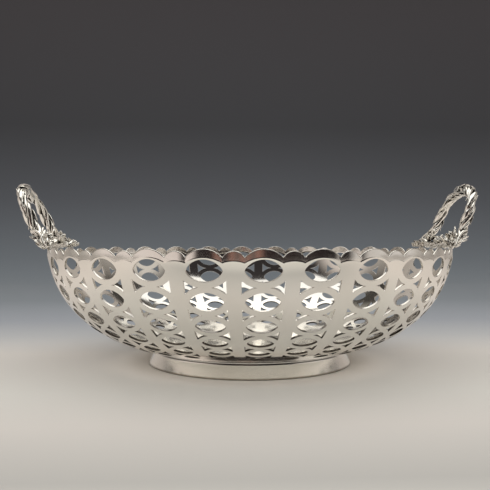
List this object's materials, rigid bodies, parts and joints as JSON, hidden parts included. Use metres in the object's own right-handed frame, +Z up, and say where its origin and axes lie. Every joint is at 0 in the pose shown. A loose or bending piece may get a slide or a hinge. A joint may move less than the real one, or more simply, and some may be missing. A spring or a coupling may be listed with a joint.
{
  "type": "pierced bowl",
  "caption": "Round pierced metal bowl with a scalloped rim, a low foot ring and two upright twig-shaped handles, for serving bread, fruit or cakes.",
  "frame": {"origin": "centre of the foot ring's resting face, on the bowl's axis", "axes": "+Z up along the bowl's axis, +X from the left handle to the right handle, +Y away from the viewer"},
  "size_m": [0.2962, 0.2516, 0.1143],
  "materials": {
    "polished_silver": "polished silver sheet with fine wear scratches",
    "cast_silver": "cast and chased silver, bright on the high places and dark in the recesses"
  },
  "bodies": {
    "root": {"pierced_bowl": "polished_silver", "foot_ring": "polished_silver", "right_handle_first_branch": "cast_silver", "right_handle_second_branch": "cast_silver", "right_handle_rim_branch": "cast_silver", "right_handle_spur_front": "cast_silver", "right_handle_spur_back": "cast_silver", "right_handle_crown_leaf_front": "cast_silver", "right_handle_crown_leaf_back": "cast_silver", "right_handle_crown_leaf_outer": "cast_silver", "right_handle_crown_leaf_inner": "cast_silver", "right_handle_limb_leaf_front": "cast_silver", "right_handle_limb_leaf_back": "cast_silver", "right_handle_foot_leaf_front": "cast_silver", "right_handle_foot_leaf_back": "cast_silver", "left_handle_first_branch": "cast_silver", "left_handle_second_branch": "cast_silver", "left_handle_rim_branch": "cast_silver", "left_handle_spur_front": "cast_silver", "left_handle_spur_back": "cast_silver", "left_handle_crown_leaf_front": "cast_silver", "left_handle_crown_leaf_back": "cast_silver", "left_handle_crown_leaf_outer": "cast_silver", "left_handle_crown_leaf_inner": "cast_silver", "left_handle_limb_leaf_front": "cast_silver", "left_handle_limb_leaf_back": "cast_silver", "left_handle_foot_leaf_front": "cast_silver", "left_handle_foot_leaf_back": "cast_silver"}
  },
  "joints": []
}
